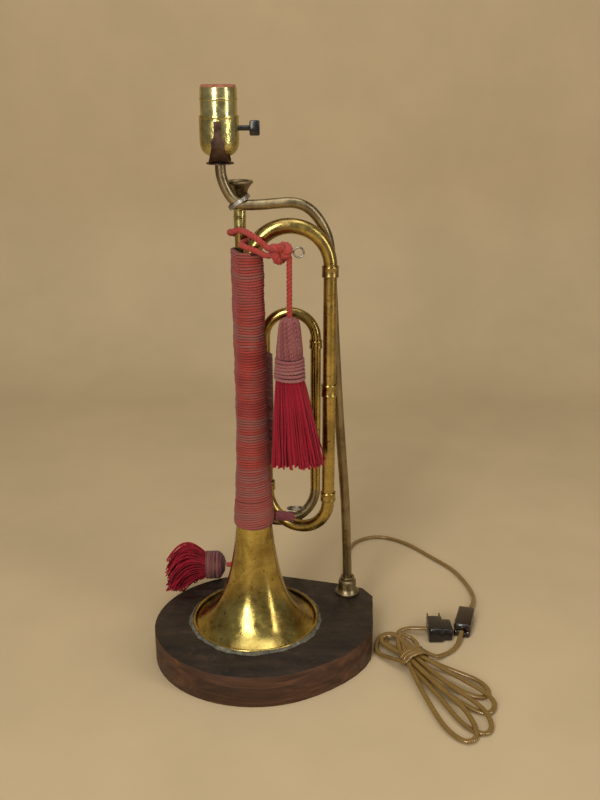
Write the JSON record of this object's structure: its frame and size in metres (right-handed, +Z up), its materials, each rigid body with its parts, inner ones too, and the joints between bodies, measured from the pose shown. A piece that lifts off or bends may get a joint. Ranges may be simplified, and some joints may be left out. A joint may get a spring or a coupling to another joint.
{
  "type": "bugle table lamp",
  "caption": "Table lamp made from a bugle standing bell down on a wooden base, with cord wrap, tassels, lamp pipe, turn-key socket and switched power cord.",
  "frame": {"origin": "underside of the wooden base, on the axis of the bell", "axes": "+Z up along the bell's axis; -Y is the side with the hanging tassel; the lamp pipe's foot stands to +X"},
  "size_m": [0.354, 0.3846, 0.5553],
  "materials": {
    "dark_wood": "worn satin",
    "putty": "matte",
    "bell_brass": "bright with brown spots",
    "brass": "tarnished",
    "dull_brass": "dull",
    "red_cord": "dusty",
    "crimson": "worn strands",
    "wire": "grey",
    "bronze": "dark",
    "socket_brass": "bright",
    "card": "matte",
    "ceramic": "glazed",
    "black": "gloss",
    "gold_cord": "clear over gold strands",
    "brown_plastic": "gloss",
    "blade": "dull"
  },
  "bodies": {
    "lamp": {"wood_base": "dark_wood", "bedding_ring": "putty", "bell_rim": "bell_brass", "bell": "bell_brass", "bell_tube": "bell_brass", "bell_ferrule": "brass", "top_bow": "brass", "top_bow_ferrule": "brass", "outer_leg": "brass", "outer_leg_ferrule": "brass", "front_bow_ferrule_outer": "brass", "front_bow": "brass", "front_bow_ferrule_inner": "brass", "inner_left_leg": "brass", "small_bow_ferrule": "brass", "small_bow": "brass", "inner_right_leg": "brass", "rear_bow": "dull_brass", "leadpipe": "brass", "mouthpiece_receiver": "brass", "mouthpiece": "dull_brass", "lower_cord_wrap": "red_cord", "main_cord_wrap": "red_cord", "inner_cord_wrap": "red_cord", "wrap_end_cord": "red_cord", "lower_ring": "wire", "cord_loop": "red_cord", "cord_knot": "red_cord", "knot_ring": "wire", "rear_tassel_cord": "red_cord", "rear_tassel_head": "red_cord", "rear_tassel_skirt": "crimson", "lamp_pipe": "dull_brass", "pipe_binding": "wire", "floor_flange": "dull_brass", "pipe_locknut": "wire", "harp_saddle": "bronze", "saddle_washer": "bronze", "socket_cap": "socket_brass", "socket_shell": "socket_brass", "socket_liner": "card", "socket_body": "ceramic", "screw_shell": "socket_brass", "centre_contact": "socket_brass", "pipe_wiring": "gold_cord", "power_cord_base": "gold_cord", "switch_base_half": "brown_plastic", "switch_top_half": "brown_plastic", "power_cord_middle": "gold_cord", "cord_hank": "gold_cord", "power_cord_plug": "gold_cord", "plug_body": "black", "plug_blade_left": "blade", "plug_blade_right": "blade"},
    "key": {"turn_key": "black"},
    "tassel": {"tassel_cord": "red_cord", "tassel_head": "red_cord", "tassel_bands": "red_cord", "tassel_skirt": "crimson"},
    "thumb_wheel": {"switch_wheel": "brown_plastic"}
  },
  "joints": [
    {"name": "key_turn", "type": "hinge", "parent": "lamp", "child": "key", "pos_m": [-0.007, 0.0034, 0.5195], "axis": [1, 0, 0], "continuous": true},
    {"name": "tassel_swing", "type": "hinge", "parent": "lamp", "child": "tassel", "pos_m": [0.036, -0.0205, 0.4072], "axis": [-1, 0, 0], "range_deg": [0, 60]},
    {"name": "wheel_roll", "type": "hinge", "parent": "lamp", "child": "thumb_wheel", "pos_m": [0.21868, 0.03186, 0.008], "axis": [0, 0, 1], "continuous": true}
  ]
}
